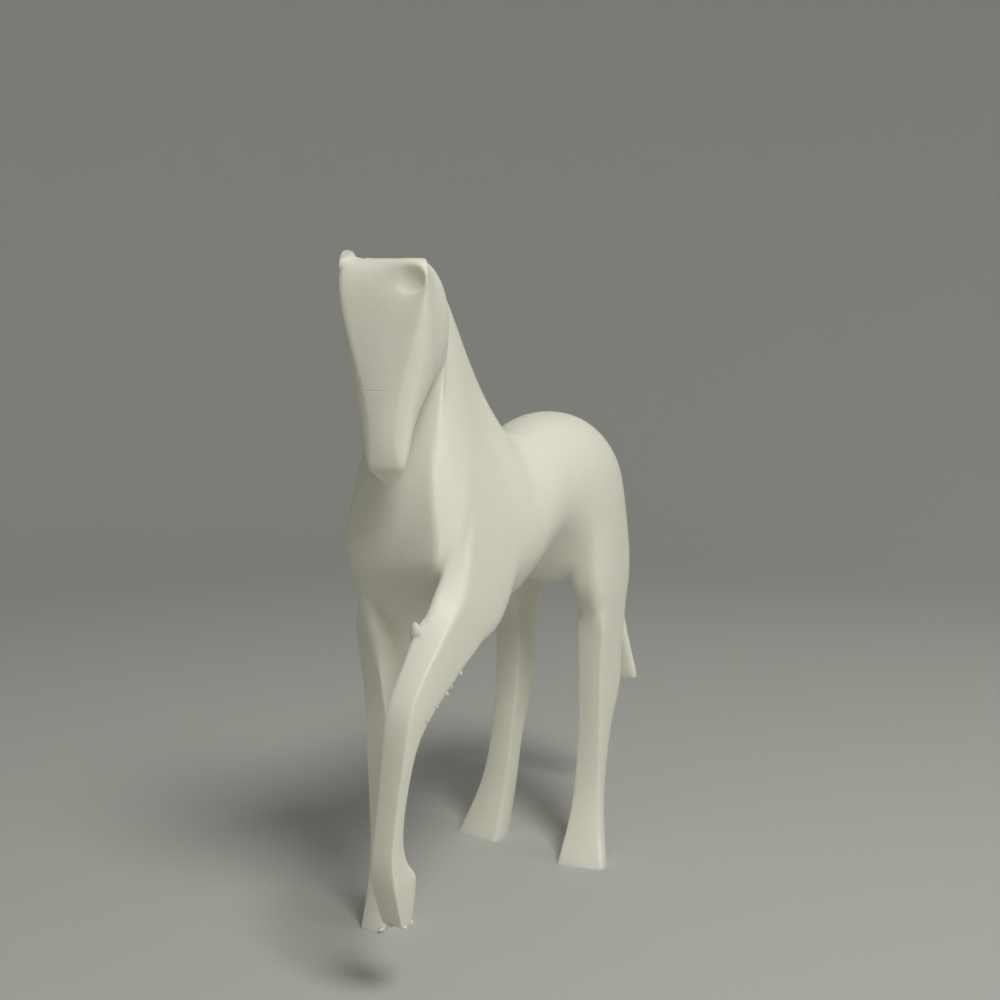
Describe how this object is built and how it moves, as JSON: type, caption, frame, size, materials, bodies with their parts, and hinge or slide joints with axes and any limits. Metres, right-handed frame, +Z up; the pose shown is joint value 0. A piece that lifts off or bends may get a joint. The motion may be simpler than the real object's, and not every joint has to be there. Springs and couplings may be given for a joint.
{
  "type": "horse statue",
  "caption": "Small standing horse figurine with a raised left foreleg, arched neck and hanging tail, printed as one solid white plastic piece.",
  "frame": {"origin": "middle of the footprint box, on the plane of the three standing soles", "axes": "+Z up from the soles to the ears, the horse faces -Y, its left side is +X"},
  "size_m": [0.0368, 0.1118, 0.1225],
  "materials": {
    "white_plastic": "satin, warm white, slightly translucent, with fine print layers"
  },
  "bodies": {
    "root": {"horse": "white_plastic"}
  },
  "joints": []
}
